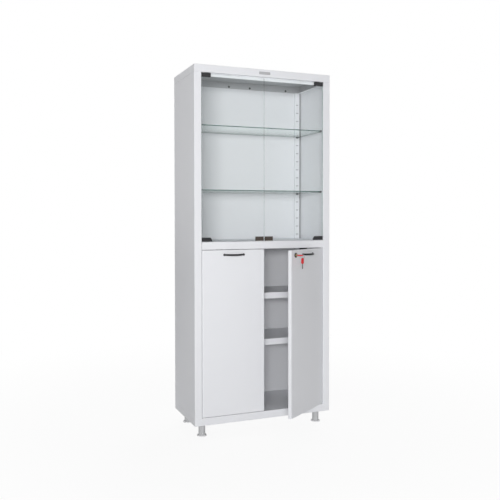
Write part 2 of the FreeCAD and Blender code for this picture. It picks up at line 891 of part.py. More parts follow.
def slide_bolt():
    """Round bolt with a finger knob, drawn back into the door."""
    shaft = rod(bolt_radius, Vector(bolt_x, bolt_y, bolt_top - bolt_length), Vector(0, 0, bolt_length))
    rims = [edge for edge in shaft.Edges if edge.BoundBox.ZLength < bolt_radius]
    shaft = shaft.makeChamfer(bolt_radius / 4, rims)
    knob_reach = bolt_radius + bolt_knob_length
    knob = rod(bolt_knob_radius, Vector(bolt_x, bolt_y, bolt_top - bolt_knob_drop), Vector(0, knob_reach, 0))
    return shaft.fuse(knob).removeSplitter()


def bolt_passage():
    """Hole for the bolt through the left door's upper edge."""
    start = Vector(bolt_x, bolt_y, door_high - sheet - overrun)
    return rod(bolt_radius + bolt_clearance, start, Vector(0, 0, sheet + overrun * 2))


# Cam lock and keys, made in the closed door and swung open with it

lock_x = leaf_inner + lock_inset
lock_face = Vector(lock_x, front, handle_level)
outward = Vector(0, -1, 0)
plug_front = lock_face + outward * (lock_ring_height + plug_proud)
plug_length = lock_ring_height + plug_proud + lock_barrel_length + plug_tail
cam_face = plug_front - outward * plug_length


def lock_barrel():
    """Lock case: a face ring outside the door and a threaded barrel through it."""
    ring = rod(lock_ring_radius, lock_face, outward * lock_ring_height)
    rim = [edge for edge in ring.Edges if edge.BoundBox.YMax < front - lock_ring_height / 2]
    ring = ring.makeFillet(lock_ring_edge, rim)
    barrel = rod(lock_barrel_radius, lock_face, outward * -lock_barrel_length)
    bore_start = lock_face + outward * (lock_ring_height + overrun)
    bore_length = lock_ring_height + lock_barrel_length + overrun * 2
    bore = rod(plug_radius + plug_clearance, bore_start, outward * -bore_length)
    return ring.fuse(barrel).removeSplitter().cut(bore)


def lock_nut():
    """Hexagon nut that holds the barrel from inside the door."""
    start = lock_face - outward * sheet
    corner_radius = lock_nut_across / 2 / math.cos(math.pi / 6)
    corners = []
    for step in range(6):
        angle = math.pi / 3 * step
        corners.append(start + Vector(corner_radius * math.cos(angle), 0, corner_radius * math.sin(angle)))
    prism = Part.Face(Part.makePolygon(corners + corners[:1])).extrude(outward * -lock_nut_height)
    bore = rod(lock_barrel_radius, start + outward * overrun, outward * -(lock_nut_height + overrun * 2))
    return prism.cut(bore)


def lock_plug():
    """Turning plug with a level keyway."""
    plug = rod(plug_radius, plug_front, outward * -plug_length)
    keyway = box(
        (lock_x - keyway_width / 2, plug_front.y - overrun, handle_level - keyway_height / 2),
        (lock_x + keyway_width / 2, plug_front.y + keyway_depth, handle_level + keyway_height / 2),
    )
    return plug.cut(keyway)


def lock_cam():
    """Flat cam on the plug's tail, lying level towards the hinge when unlocked."""
    plate = box(
        (lock_x - cam_heel, cam_face.y, handle_level - cam_height / 2),
        (lock_x + cam_length, cam_face.y + cam_thickness, handle_level + cam_height / 2),
    )
    return plate.makeFillet(cam_height / 3, edges_along(plate, Vector(0, 1, 0)))


def cam_screw():
    """Screw head that holds the cam on the plug."""
    seat = cam_face - outward * cam_thickness
    head = rod(cam_screw_head_radius, seat, outward * -cam_screw_head_height)
    rim = [edge for edge in head.Edges if edge.BoundBox.YMin > seat.y + cam_screw_head_height / 2]
    return head.makeFillet(cam_screw_head_height / 4, rim)


def head_plan(end, thickness_way, along, across):
    """Moulded key head: a rounded slab from its outer end back along the key, with an oblong ring hole."""
    half = key_head_width / 2
    start = end - thickness_way * (key_head_thickness / 2)
    corners = [
        start + across * half,
        start - across * half,
        start - across * half + along * key_head_length,
        start + across * half + along * key_head_length,
    ]
    slab = Part.Face(Part.makePolygon(corners + corners[:1])).extrude(thickness_way * key_head_thickness)
    slab = slab.makeFillet(key_head_corner, edges_along(slab, thickness_way))
    flat_edges = [edge for edge in slab.Edges if not edges_along(edge, thickness_way)]
    slab = slab.makeFillet(key_head_edge, flat_edges)
    bend = key_hole_width / 2
    first = start + along * (key_hole_rim + bend)
    last = start + along * (key_hole_rim + key_hole_length - bend)
    outline = [
        Part.LineSegment(first + across * bend, last + across * bend).toShape(),
        Part.Arc(last + across * bend, last + along * bend, last - across * bend).toShape(),
        Part.LineSegment(last - across * bend, first - across * bend).toShape(),
        Part.Arc(first - across * bend, first - along * bend, first + across * bend).toShape(),
    ]
    hole = Part.Face(Part.Wire(outline)).extrude(thickness_way * key_head_thickness)
    head = slab.cut(hole)
    around = hole.BoundBox
    around.enlarge(key_hole_edge / 2)
    mouths = [e for e in head.Edges if around.isInside(e.BoundBox) and not edges_along(e, thickness_way)]
    return head.makeFillet(key_hole_edge, mouths)


key_end = plug_front + outward * (key_neck + key_head_length)
ring_pivot = key_end - outward * (key_hole_rim / 2)
ring_drop = ring_radius - ring_wire_radius - key_head_thickness / 2 - ring_rest_gap
ring_centre = ring_pivot - Vector(0, 0, ring_drop)
spare_pivot = ring_centre - Vector(0, 0, ring_radius)
spare_top = spare_pivot + Vector(0, 0, ring_wire_radius + spare_hang_gap + key_hole_rim)


def key_blade():
    """Flat blade of the key in the lock, with its tang inside the head."""
    length = key_neck + key_tang
    tip = plug_front.y + keyway_depth - key_clearance
    return box(
        (lock_x - key_blade_width / 2, plug_front.y - length, handle_level - key_blade_height / 2),
        (lock_x + key_blade_width / 2, tip, handle_level + key_blade_height / 2),
    )


def key_head():
    """Red moulded head of the key in the lock, lying level."""
    head = head_plan(key_end, Vector(0, 0, 1), -outward, Vector(1, 0, 0))
    return head.cut(key_blade())


def key_ring():
    """Wire ring that hangs on the rim of the key's hole."""
    return Part.makeTorus(ring_radius, ring_wire_radius, ring_centre, Vector(1, 0, 0))


def spare_blade():
    """Blade of the spare key, hanging down from its head."""
    head_low = spare_top.z - key_head_length
    return box(
        (lock_x - key_blade_width / 2, spare_top.y - key_blade_height / 2, head_low - spare_blade_length),
        (lock_x + key_blade_width / 2, spare_top.y + key_blade_height / 2, head_low + key_tang),
    )


def spare_head():
    """Red moulded head of the spare key, hanging flat to the door."""
    head = head_plan(spare_top, Vector(0, 1, 0), Vector(0, 0, -1), Vector(1, 0, 0))
    return head.cut(spare_blade())


# Feet


def foot_places():
    """Centres of the feet on the floor, by name."""
    x = half_width - foot_inset
    y = rear - foot_inset
    return {
        "front_left": Vector(-x, -y, 0),
        "front_right": Vector(x, -y, 0),
        "rear_left": Vector(-x, y, 0),
        "rear_right": Vector(x, y, 0),
    }


def foot_tube(place):
    """Leg tube with a fixing plate under the floor tray and a threaded end."""
    plate_top = wall_low - sheet
    start = place + Vector(0, 0, foot_base_height)
    length = plate_top - foot_base_height
    tube = rod(foot_tube_radius, start, Vector(0, 0, length))
    hollow_start = start + Vector(0, 0, foot_nut_height)
    hollow_length = length - foot_nut_height - foot_plate_thickness
    hollow = rod(foot_tube_radius - foot_tube_wall, hollow_start, Vector(0, 0, hollow_length))
    thread = rod(foot_stud_radius + foot_stud_clearance, start, Vector(0, 0, foot_nut_height))
    half = foot_plate_size / 2
    plate = box(
        (place.x - half, place.y - half, plate_top - foot_plate_thickness),
        (place.x + half, place.y + half, plate_top),
    )
    return tube.cut(hollow).cut(thread).fuse(plate).removeSplitter()


def foot_base(place):
    """Round levelling base with its threaded stud."""
    disc = rod(foot_base_radius, place, Vector(0, 0, foot_base_height))
    rim = [edge for edge in disc.Edges if edge.BoundBox.ZMin > foot_base_height / 2]
    disc = disc.makeFillet(foot_base_edge, rim)
    stud = rod(foot_stud_radius, place, Vector(0, 0, foot_base_height + foot_stud_length))
    return disc.fuse(stud).removeSplitter()


def name_plate():
    """Blank plate in the middle of the roof rim."""
    middle = (wall_high + roof) / 2
    low = (-plate_length / 2, front - plate_thickness, middle - plate_height / 2)
    plate = box(low, (plate_length / 2, front, middle + plate_height / 2))
    return plate.makeFillet(plate_corner, edges_along(plate, Vector(0, 1, 0)))


os.makedirs("parts", exist_ok=True)

right_side = side_panel()
save("side_panel_right", right_side)
save("side_panel_left", mirrored(right_side))
save("top_cap", top_cap())
save("bottom_pan", bottom_pan())
save("middle_deck", middle_deck())
save("back_panel", back_panel())
save("back_rivets", *both_sides([back_rivet(place) for place in rivet_places()]))
save("name_plate", name_plate())

for name, seat in glass_seats.items():
    save("glass_shelf_" + name, glass_shelf(seat))
for name, seat in steel_seats.items():
    save("steel_shelf_" + name, steel_shelf(seat))
save("glass_shelf_hooks", *shelf_hooks(glass_seats.values()))
save("steel_shelf_hooks", *shelf_hooks(steel_seats.values()))

bush_seats = {
    "glass_door_bushes": (glass_mid_y, deck_top, wall_high),
    "steel_door_bushes": (door_pivot_y, wall_low, rail_low),
}
for name, (y, sill, head) in bush_seats.items():
    save(name, *both_sides([pivot_bush(pivot_x, y, sill, 1), pivot_bush(pivot_x, y, head, -1)]))

glass_case, glass_magnet = glass_catch()
steel_case, steel_magnet = steel_catch()
save("glass_door_catches", *both_sides([glass_case]))
save("steel_door_catches", *both_sides([steel_case]))
save("catch_magnets", *both_sides([glass_magnet, steel_magnet]))

glass_leaf = {
    "glass_pane": [pane()],
    "bottom_clamp": [clamp_with_holes(bottom_clamp_length, glass_low, True, glass_low)],
    "top_clamp": [clamp_with_holes(top_clamp_length, top_clamp_low, False, glass_high - clamp_web)],
    "clamp_screws": clamp_screws(),
    "glass_pivots": glass_pivots(),
    "strike_plate": [strike_plate()],
}
for name, solids in glass_leaf.items():
    save(name + "_right", *solids)
    save(name + "_left", *[mirrored(solid) for solid in solids])

closed_door = steel_door()
lock_hole = rod(lock_barrel_radius, lock_face, outward * -sheet)
save("steel_door_right", swung(closed_door.cut(lock_hole)))
save("steel_door_left", mirrored(closed_door).cut(bolt_passage()))
door_fittings = {
    "handle": [bow_handle()],
    "handle_screws": handle_screws(),
    "door_pins": steel_door_pivots(),
    "door_stiffener": [door_stiffener()],
}
for name, solids in door_fittings.items():
    save(name + "_right", *[swung(solid) for solid in solids])
    save(name + "_left", *[mirrored(solid) for solid in solids])
save("bolt_case", bolt_case())
save("slide_bolt", slide_bolt())

lock_pieces = {
    "lock_barrel": lock_barrel(),
    "lock_nut": lock_nut(),
    "lock_plug": lock_plug(),
    "lock_cam": lock_cam(),
    "cam_screw": cam_screw(),
    "key_blade": key_blade(),
    "key_head": key_head(),
    "key_ring": key_ring(),
    "spare_key_blade": spare_blade(),
    "spare_key_head": spare_head(),
}
for name, solid in lock_pieces.items():
    save(name, swung(solid))

save("foot_tubes", *[foot_tube(place) for place in foot_places().values()])
for name, place in foot_places().items():
    save("foot_base_" + name, foot_base(place))
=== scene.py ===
import json
import math

import bmesh
import bpy
from bpy.props import FloatProperty, FloatVectorProperty, PointerProperty
from mathutils import Matrix, Vector


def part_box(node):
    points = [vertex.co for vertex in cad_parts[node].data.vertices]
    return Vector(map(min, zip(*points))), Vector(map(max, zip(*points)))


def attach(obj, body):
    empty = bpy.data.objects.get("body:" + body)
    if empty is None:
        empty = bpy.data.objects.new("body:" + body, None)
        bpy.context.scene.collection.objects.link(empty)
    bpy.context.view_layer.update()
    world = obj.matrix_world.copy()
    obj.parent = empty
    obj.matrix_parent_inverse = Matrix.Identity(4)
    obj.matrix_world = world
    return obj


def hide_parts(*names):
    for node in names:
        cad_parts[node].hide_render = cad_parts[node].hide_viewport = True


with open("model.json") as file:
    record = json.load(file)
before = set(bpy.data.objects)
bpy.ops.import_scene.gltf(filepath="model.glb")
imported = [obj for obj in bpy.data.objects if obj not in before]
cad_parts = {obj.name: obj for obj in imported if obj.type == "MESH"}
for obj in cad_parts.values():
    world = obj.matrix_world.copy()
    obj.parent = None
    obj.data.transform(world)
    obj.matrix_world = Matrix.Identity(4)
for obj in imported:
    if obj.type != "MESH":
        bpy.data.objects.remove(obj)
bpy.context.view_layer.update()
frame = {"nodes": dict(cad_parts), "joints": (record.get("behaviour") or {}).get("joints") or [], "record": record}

bl_info = {
    "name": "Medical Cabinet Dressing",
    "version": (1, 0, 0),
    "blender": (4, 5, 0),
    "location": "View3D > Sidebar > Cabinet",
    "description": "Finishes and fine fittings for a steel and glass medical cabinet",
    "category": "Object",
}

MILLIMETRE = 0.001
MERGE_DISTANCE = 1e-6
CREASE = math.radians(35)
WHITE = (1.0, 1.0, 1.0)
REARWARD = Vector((0, 1, 0))
FORWARD = Vector((0, -1, 0))
DOWNWARD = Vector((0, 0, -1))
RIGHTWARD = Vector((1, 0, 0))
SIDES = ("left", "right")
CORNERS = ("front_left", "front_right", "rear_left", "rear_right")

# Places of a Mix node's sockets, since its numbers and its colours share their names
FACTOR, NUMBER_A, NUMBER_B, COLOUR_A, COLOUR_B = 0, 2, 3, 6, 7
MIXED_NUMBER, MIXED_COLOUR = 0, 2

# How far the painted shade in a hollow stays inside the outer faces of its sheet
SKIN = MILLIMETRE / 2

# Powder coat and mouldings: strength and shade of the coat's specks, strength of rubbed patches
SPECK_STRENGTH = 0.10
SPECK_SHADE = 0.88
RUB_STRENGTH = 0.5

# Glass: its mirror's tint, the stretch of its smears, the shares mirrored head-on and at a slant,
# the power that leads from one to the other, and how strongly the ground rim shows
MIRROR_TINT = (0.96, 1.0, 0.98)
SMEAR_STRETCH = (6.0, 6.0, 2.2)
MIRROR_HEAD_ON = 0.03
MIRROR_AT_SLANT = 0.8
MIRROR_FALLOFF = 5.0
RIM_STRENGTH = 0.9

# Fasteners and caps: sides and rings of their meshes, then shares of a head's height
HEAD_SIDES = 28
HEAD_RINGS = 7
PEG_RINGS = 2
PIT_DEPTH = 0.4
SOCKET_MIDDLE = 0.85

# Weld beads: shade of the feet's grey, sides of their meshes, ripples in one round, and a ripple's
# share of the bead's radius
WELD_SHADE = 0.7
BEAD_STEPS = 120
BEAD_SIDES = 8
BEAD_RIPPLES = 30.0
RIPPLE_HEIGHT = 0.15

# Keys: steps along a blade, depths and steepness of the notches, shares of the blade's width, and
# the share of the tang at which the groove starts
BLADE_STEPS = 72
NOTCHES = (0.35, 0.8, 0.55, 1.0, 0.45, 0.7)
NOTCH_STEEPNESS = 2.2
TIP_LENGTH = 0.35
TIP_NARROWING = 0.32
GROOVE_LANES = (-0.30, -0.22, -0.06, 0.02)
GROOVE_START = 0.5

# Studio, in metres, apart from the sensor in millimetres
FLOOR_HALF = 30.0
FADE_START = 0.4
FADE_END = 2.4
SENSOR_WIDTH = 36.0

# Panel lights: name, place, the point it is aimed at, size, and the setting that holds its power
LIGHTS = (
    ("front_panel", (-2.35, -4.7, 1.4), (0, 0, 0.95), (2.2, 0.9), "key_light"),
    ("rear_panel", (3.0, 3.6, 1.9), (0, 0, 0.95), (2.2, 1.6), "rear_light"),
    ("roof_panel", (0.4, 0.8, 4.4), (0.1, 0.2, 1.7), (1.2, 1.2), "roof_light"),
)


def colour_property(name, description, default):
    """Colour of one finish, as a property a user can change."""
    return FloatVectorProperty(
        name=name, description=description, subtype="COLOR", size=3, min=0, max=1, default=default
    )


def number_property(name, description, default, **settings):
    """Number, as a property a user can change."""
    return FloatProperty(name=name, description=description, default=default, **settings)


def length_property(name, description, millimetres):
    """Length, as a property a user can change."""
    default = millimetres * MILLIMETRE
    return number_property(name, description, default, min=0, unit="LENGTH", precision=5)


class CabinetFinishes(bpy.types.PropertyGroup):
    """Colours of the cabinet's finishes, and of the painted shade in its hollows."""

    coat: colour_property("Coat", "White powder coat on the sheet metal", (0.825, 0.833, 0.862))
    # Painted shade: a darker colour inside the roof tray and the rear posts, where shade falls
    roof_and_post_shade: colour_property(
        "Roof and post shade", "Painted shade in the roof and the posts", (0.50, 0.505, 0.525)
    )
    # Painted shade: a much darker colour inside the deck's hollow, where shade falls
    deck_shade: colour_property("Deck shade", "Painted shade under the deck", (0.27, 0.273, 0.285))
    pane_tint: colour_property(
        "Pane tint", "Light that one face of the door glass lets through", (0.993, 1.0, 0.998)
    )
    shelf_tint: colour_property(
        "Shelf tint", "Light that one face of the shelf glass lets through", (0.97, 0.99, 0.983)
    )
    pane_edge: colour_property("Pane edge", "Ground edges of the door glass", (0.34, 0.46, 0.43))
    shelf_edge: colour_property(
        "Shelf edge", "Ground edges of the shelf glass", (0.035, 0.115, 0.10)
    )
    handle_black: colour_property(
        "Handle black", "Moulded handles, bolt case and lower catches", (0.010, 0.010, 0.012)
    )
    clamp_black: colour_property(
        "Clamp black", "Coated pivot clamps and lock ring", (0.020, 0.020, 0.023)
    )
    zinc: colour_property("Zinc", "Plated pins, screws and small steel", (0.62, 0.62, 0.63))
    key_steel: colour_property("Key steel", "Blades of the keys", (0.20, 0.19, 0.175))
    plate_silver: colour_property("Plate silver", "Blank plate on the top rim", (0.50, 0.50, 0.52))
    hook_grey: colour_property("Hook grey", "Phosphated shelf hooks", (0.16, 0.16, 0.17))
    plate_bronze: colour_property(
        "Plate bronze", "Strike plates at the foot of the glass", (0.13, 0.108, 0.095)
    )
    brass: colour_property("Brass", "Lock plug", (0.70, 0.53, 0.24))
    key_red: colour_property("Key red", "Moulded key heads", (0.72, 0.014, 0.02))
    nylon: colour_property("Nylon", "Pivot bushes and upper catch cases", (0.80, 0.80, 0.77))
    cap_black: colour_property("Cap black", "Caps in the wall holes", (0.03, 0.03, 0.033))
    foot_grey: colour_property("Foot grey", "Satin tubes of the feet", (0.54, 0.545, 0.555))
    base_grey: colour_property("Base grey", "Pale floor cups of the feet", (0.80, 0.80, 0.81))
    magnet_grey: colour_property("Magnet grey", "Catch magnets", (0.06, 0.06, 0.065))


class FittingSizes(bpy.types.PropertyGroup):
    """Sizes of the small fittings."""

    post_depth: length_property("Post depth", "Depth of the slotted rear posts", 12.0)
    rivet_radius: length_property("Rivet radius", "Radius of a rivet head", 4.0)
    rivet_height: length_property("Rivet height", "Height of a rivet head", 1.2)
    rivet_pit: length_property("Rivet pit", "Radius of the pit that the drawn pin leaves", 1.4)
    socket_radius: length_property("Socket screw radius", "Radius of a clamp screw's head", 3.6)
    socket_height: length_property("Socket screw height", "Height of a clamp screw's head", 1.4)
    socket_width: length_property("Socket width", "Radius of the six-sided socket", 1.7)
    pan_radius: length_property("Pan screw radius", "Radius of a pan-head screw", 4.0)
    pan_height: length_property("Pan screw height", "Height of a pan-head screw", 2.5)
    recess_width: length_property("Recess width", "Width of the arms of a cross recess", 1.0)
    recess_reach: length_property("Recess reach", "Tip to tip length of a cross recess", 4.6)
    cap_radius: length_property("Cap radius", "Radius of a wall hole's cap", 5.5)
    cap_height: length_property("Cap height", "Height of a wall hole's cap", 1.3)
    stem_radius: length_property("Stem radius", "Radius of the cap's stem in the hole", 3.4)
    tube_radius: length_property("Tube radius", "Radius of a foot's tube", 15.5)
    plate_thickness: length_property("Plate thickness", "Plate on top of a foot's tube", 2.0)
    weld_radius: length_property("Weld radius", "Half the width of a foot's weld bead", 1.8)
    key_cut: length_property("Key cut", "Depth of the deepest cut in a key", 1.7)
    key_tang: length_property("Key tang", "Length of a key's blade held in its head", 10.0)
    key_groove: length_property("Key groove", "Depth of the groove along a key", 0.5)


class StudioSetup(bpy.types.PropertyGroup):
    """Camera and light of the picture."""

    camera_place: FloatVectorProperty(
        name="Camera place",
        description="Where the camera stands",
        subtype="XYZ",
        unit="LENGTH",
        default=(-1.26331, -2.95890, 1.01891),
    )
    turn: number_property("Turn", "Turn to the right of straight on", 0.37169, subtype="ANGLE")
    tilt: number_property("Tilt", "Tilt downwards", 0.02285, subtype="ANGLE")
    roll: number_property("Roll", "Roll of the camera", -0.00153, subtype="ANGLE")
    lens: number_property("Lens", "Focal length in millimetres", 46.591, min=1)
    shift_across: number_property("Shift across", "Sideways lens shift", 0.03824)
    shift_up: number_property("Shift up", "Upward lens shift", -0.03570)
    air: number_property("Air", "Strength of the even light all round", 0.178, min=0)
    key_light: number_property("Key light", "Power of the broad front light", 173.0, min=0)
    rear_light: number_property("Rear light", "Power of the light behind", 90.0, min=0)
    roof_light: number_property("Roof light", "Power of the light overhead", 22.0, min=0)
    floor_colour: colour_property("Floor", "Pale studio floor", (0.93, 0.93, 0.93))
    floor_lift: number_property(
        "Floor lift", "How white the floor looks beside the cabinet", 0.92, min=0, max=1
    )


class Value:
    """One varying socket of a tree; sums and products of it add Math nodes."""

    def __init__(self, owner, socket):
        self.owner = owner
        self.socket = socket

    def above(self, limit):
        """1 where the value is over a limit, and 0 elsewhere."""
        return self.owner.maths("GREATER_THAN", self, limit)

    def __add__(self, other):
        return self.owner.maths("ADD", self, other)

    __radd__ = __add__

    def __sub__(self, other):
        return self.owner.maths("SUBTRACT", self, other)

    def __rsub__(self, other):
        return self.owner.maths("SUBTRACT", other, self)

    def __mul__(self, other):
        return self.owner.maths("MULTIPLY", self, other)

    __rmul__ = __mul__

    def __truediv__(self, other):
        return self.owner.maths("DIVIDE", self, other)

    def __pow__(self, other):
        return self.owner.maths("POWER", self, other)

    def __abs__(self):
        return self.owner.maths("ABSOLUTE", self)


class Tree:
    """A node tree that is being written."""

    def __init__(self, tree):
        self.tree = tree

    def node(self, kind, settings=None, sockets=None, output=0):
        """New node with its settings, then its sockets' values or links; gives one output."""
        made = self.tree.nodes.new(kind)
        for key, setting in (settings or {}).items():
            setattr(made, key, setting)
        for key, value in (sockets or {}).items():
            self.feed(made.inputs[key], value)
        return Value(self, made.outputs[output])

    def feed(self, socket, value):
        """Link one or more varying values to a socket, or set a plain one on it."""
        if isinstance(value, list):
            for one in value:
                self.tree.links.new(one.socket, socket)
        elif isinstance(value, Value):
            self.tree.links.new(value.socket, socket)
        else:
            socket.default_value = value

    def maths(self, operation, first, second=0.0):
        """Math node on numbers or values."""
        return self.node("ShaderNodeMath", {"operation": operation}, {0: first, 1: second})

    def part(self, vector, axis):
        """One part of a vector."""
        return self.node("ShaderNodeSeparateXYZ", sockets={0: vector}, output=axis)

    def parts(self, vector):
        """The three parts of a vector."""
        return [self.part(vector, axis) for axis in "XYZ"]


class Finish(Tree):
    """A material being mixed: its nodes, its shader and the surface's own coordinates."""

    def __init__(self, name):
        self.material = bpy.data.materials.new(name)
        self.material.use_nodes = True
        super().__init__(self.material.node_tree)
        self.shader = self.tree.nodes["Principled BSDF"]
        self.end = self.tree.nodes["Material Output"]

    def set(self, **sockets):
        """Values of the main shader, by socket name with underscores for spaces."""
        for key, value in sockets.items():
            self.feed(self.shader.inputs[key.replace("_", " ")], value)

    def surface(self):
        """The main shader, to mix with another one."""
        return Value(self, self.shader.outputs[0])

    def place(self):
        """Position on the piece, in metres."""
        return self.node("ShaderNodeTexCoord", output="Object")

    def facing(self, axis):
        """How squarely the surface faces along one of the piece's axes, from 0 to 1."""
        return abs(self.part(self.node("ShaderNodeTexCoord", output="Normal"), axis))

    def stretched(self, scale):
        """Position on the piece, stretched by a scale along each axis."""
        return self.node("ShaderNodeMapping", sockets={"Vector": self.place(), "Scale": scale})

    def noise(self, vector, scale, detail=2.0, roughness=0.5):
        """Soft noise from 0 to 1."""
        sockets = {"Vector": vector, "Scale": scale, "Detail": detail, "Roughness": roughness}
        return self.node("ShaderNodeTexNoise", sockets=sockets)

    def between(self, value, low, high):
        """0 where a value is below low, 1 where it is above high and smooth between them."""
        settings = {"interpolation_type": "SMOOTHSTEP"}
        sockets = {"Value": value, "From Min": low, "From Max": high}
        return self.node("ShaderNodeMapRange", settings, sockets)

    def within(self, low, high):
        """1 inside the box between two corners, and 0 elsewhere."""
        inside = 1.0
        for value, least, most in zip(self.parts(self.place()), low, high):
            inside = value.above(least) * (1.0 - value.above(most)) * inside
        return inside

    def varied(self, *shares, base):
        """Base number with a share of each of several varying values added to it."""
        total = base
        for value, share in shares:
            total = total + value * share
        return total

    def blend(self, factor, first, second):
        """Mix of two colours."""
        settings = {"data_type": "RGBA", "clamp_factor": True}
        sockets = {FACTOR: factor, COLOUR_A: opaque(first), COLOUR_B: opaque(second)}
        return self.node("ShaderNodeMix", settings, sockets, MIXED_COLOUR)

    def toned(self, factor, colour, dark, light):
        """Colour that runs from one shade of itself to a lighter one."""
        return self.blend(factor, shade(colour, dark), shade(colour, light))

    def bump(self, height, strength, distance):
        """Relief on the main shader from a height between 0 and 1."""
        sockets = {"Height": height, "Strength": strength, "Distance": distance}
        self.set(Normal=self.node("ShaderNodeBump", sockets=sockets))

    def mix_shaders(self, factor, first, second):
        """Mix of two shaders."""
        return self.node("ShaderNodeMixShader", sockets={0: factor, 1: first, 2: second})

    def show(self, shader):
        """Make a shader the material's surface."""
        self.feed(self.end.inputs["Surface"], shader)


def opaque(colour):
    """Colour with an alpha of one, or a varying colour as it is."""
    return colour if isinstance(colour, Value) else (*colour[:3], 1.0)


def shade(colour, amount):
    """Colour made darker or lighter by a factor."""
    return tuple(channel * amount for channel in colour[:3])


def powder_coat(name, colour, hollow=None, painted_shade_colour=None):
    """Smooth semi-gloss powder coat with an orange peel, and painted shade within the box of any hollow."""
    finish = Finish(name)
    place = finish.place()
    drift = finish.noise(place, scale=2.3, detail=3.0)
    peel = finish.noise(place, scale=620.0, roughness=0.6)
    speckle = finish.noise(place, scale=95.0, detail=4.0, roughness=0.65)
    specks = finish.between(speckle, low=0.66, high=0.74) * SPECK_STRENGTH
    tone = finish.toned(drift, colour, dark=0.97, light=1.02)
    # Painted shade: inside the hollow's box the coat takes a darker colour
    if hollow:
        tone = finish.blend(finish.within(*hollow), tone, painted_shade_colour)
    finish.set(Base_Color=finish.blend(specks, tone, shade(colour, SPECK_SHADE)))
    roughness = finish.varied((drift, 0.08), (peel, 0.06), base=0.30)
    finish.set(Roughness=roughness, Specular_IOR_Level=0.3)
    finish.bump(peel, strength=0.10, distance=0.12 * MILLIMETRE)
    return finish.material


def sheet_glass(name, tint, edge, thin_axis, seam):
    """Clear glass that mirrors at a slant, its ground edges fainter near the middle seam."""
    finish = Finish(name)
    place = finish.place()
    slant = finish.node("ShaderNodeLayerWeight", sockets={"Blend": 0.5}, output="Facing")
    smear = finish.noise(finish.stretched(SMEAR_STRETCH), scale=1.0, detail=4.0, roughness=0.6)
    finish.set(Base_Color=opaque(MIRROR_TINT), Metallic=1.0)
    finish.set(Roughness=finish.varied((smear, 0.05), base=0.012))
    clear = finish.node("ShaderNodeBsdfTransparent", sockets={"Color": opaque(tint)})
    mirrored = MIRROR_HEAD_ON + slant ** MIRROR_FALLOFF * MIRROR_AT_SLANT
    pane = finish.mix_shaders(mirrored, clear, finish.surface())
    depth = finish.noise(place, scale=30.0)
    ground = finish.noise(place, scale=900.0, detail=3.0)
    rim_sockets = {
        "Base Color": finish.toned(depth, edge, dark=0.75, light=1.2),
        "Roughness": finish.varied((ground, 0.2), base=0.18),
    }
    rim = finish.node("ShaderNodeBsdfPrincipled", sockets=rim_sockets)
    at_edge = 1.0 - finish.between(finish.facing(thin_axis), low=0.55, high=0.9)
    aside = finish.between(abs(finish.part(place, "X")), low=0.1, high=0.2)
    rim_share = at_edge * (seam + (RIM_STRENGTH - seam) * aside)
    finish.show(finish.mix_shaders(rim_share, pane, rim))
    return finish.material


def moulded(name, colour, roughness, coat=0.0):
    """Moulded plastic or smooth coated metal with a fine skin and a few rubbed patches."""
    finish = Finish(name)
    place = finish.place()
    skin = finish.noise(place, scale=420.0, detail=3.0, roughness=0.55)
    rubbed = finish.between(finish.noise(place, scale=26.0, detail=4.0), low=0.5, high=0.75)
    finish.set(Base_Color=finish.toned(rubbed * RUB_STRENGTH, colour, dark=1.0, light=1.3))
    finish.set(Roughness=finish.varied((skin, 0.10), (rubbed, 0.06), base=roughness))
    finish.set(Coat_Weight=coat)
    finish.bump(skin, strength=0.12, distance=0.06 * MILLIMETRE)
    return finish.material


def brushed(name, colour, roughness, lines):
    """Metal with fine lines, so many a metre along each axis, and a dull drift of tarnish."""
    finish = Finish(name)
    drawn = finish.noise(finish.stretched(lines), scale=1.0, detail=3.0, roughness=0.7)
    dull = finish.noise(finish.place(), scale=38.0, detail=3.0)
    finish.set(Metallic=1.0, Base_Color=finish.toned(dull, colour, dark=0.86, light=1.1))
    finish.set(Roughness=finish.varied((drawn, 0.16), (dull, 0.08), base=roughness))
    finish.bump(drawn, strength=0.10, distance=0.04 * MILLIMETRE)
    return finish.material


def even(lines):
    """The same number of lines along each axis."""
    return (lines, lines, lines)


def zinc_plate():
    """Zinc plate for small steel, mixed once."""
    made = bpy.data.materials.get("zinc_plate")
    lines = (900.0, 900.0, 60.0)
    return made or brushed("zinc_plate", finishes().zinc, roughness=0.24, lines=lines)


def finish_nodes(material, names):
    """Give carried-over pieces one material in all their slots."""
    for name in names:
        for slot in frame["nodes"][name].material_slots:
            slot.material = material


def sided(*names):
    """Each name with its left and its right ending."""
    return [name + "_" + side for name in names for side in SIDES]


def finishes():
    """The cabinet's colours as the user has set them."""
    return bpy.context.scene.cabinet_finishes


def sizes():
    """The fittings' sizes as the user has set them."""
    return bpy.context.scene.cabinet_fittings


def joint(name):
    """Facts of one joint of the frame."""
    return next(one for one in frame["joints"] if one["name"] == name)


def door_swing():
    """Move that takes the closed right steel door to its place at rest, partly open."""
    hinge = joint("steel_door_right_hinge")
    place = Matrix.Translation(hinge["pos_m"])
    swing = Matrix.Rotation(math.radians(-hinge["range_deg"][0]), 4, Vector(hinge["axis"]))
    return place @ swing @ place.inverted()


def islands(name):
    """Points of each separate solid of a node."""
    work = bmesh.new()
    work.from_mesh(frame["nodes"][name].data)
    bmesh.ops.remove_doubles(work, verts=work.verts, dist=MERGE_DISTANCE)
    groups, seen = [], set()
    for start in work.verts:
        group, waiting = [], [start]
        while waiting:
            vert = waiting.pop()
            if vert not in seen:
                seen.add(vert)
                group.append(vert.co.copy())
                waiting += [edge.other_vert(vert) for edge in vert.link_edges]
        if group:
            groups.append(group)
    work.free()
    return groups


def span(points, direction):
    """Lowest and highest reach of points along a direction."""
    reach = [point.dot(direction) for point in points]
    return min(reach), max(reach)


def head_seats(name, outward, head_height):
    """Places on which the heads of a node's fasteners sit, each head ending its reach outward."""
    across = outward.orthogonal().normalized()
    upward = outward.cross(across)
    places = []
    for points in islands(name):
        seat = outward * (span(points, outward)[1] - head_height)
        for way in (across, upward):
            seat = seat + way * sum(span(points, way)) / 2
        places.append(seat)
    return places


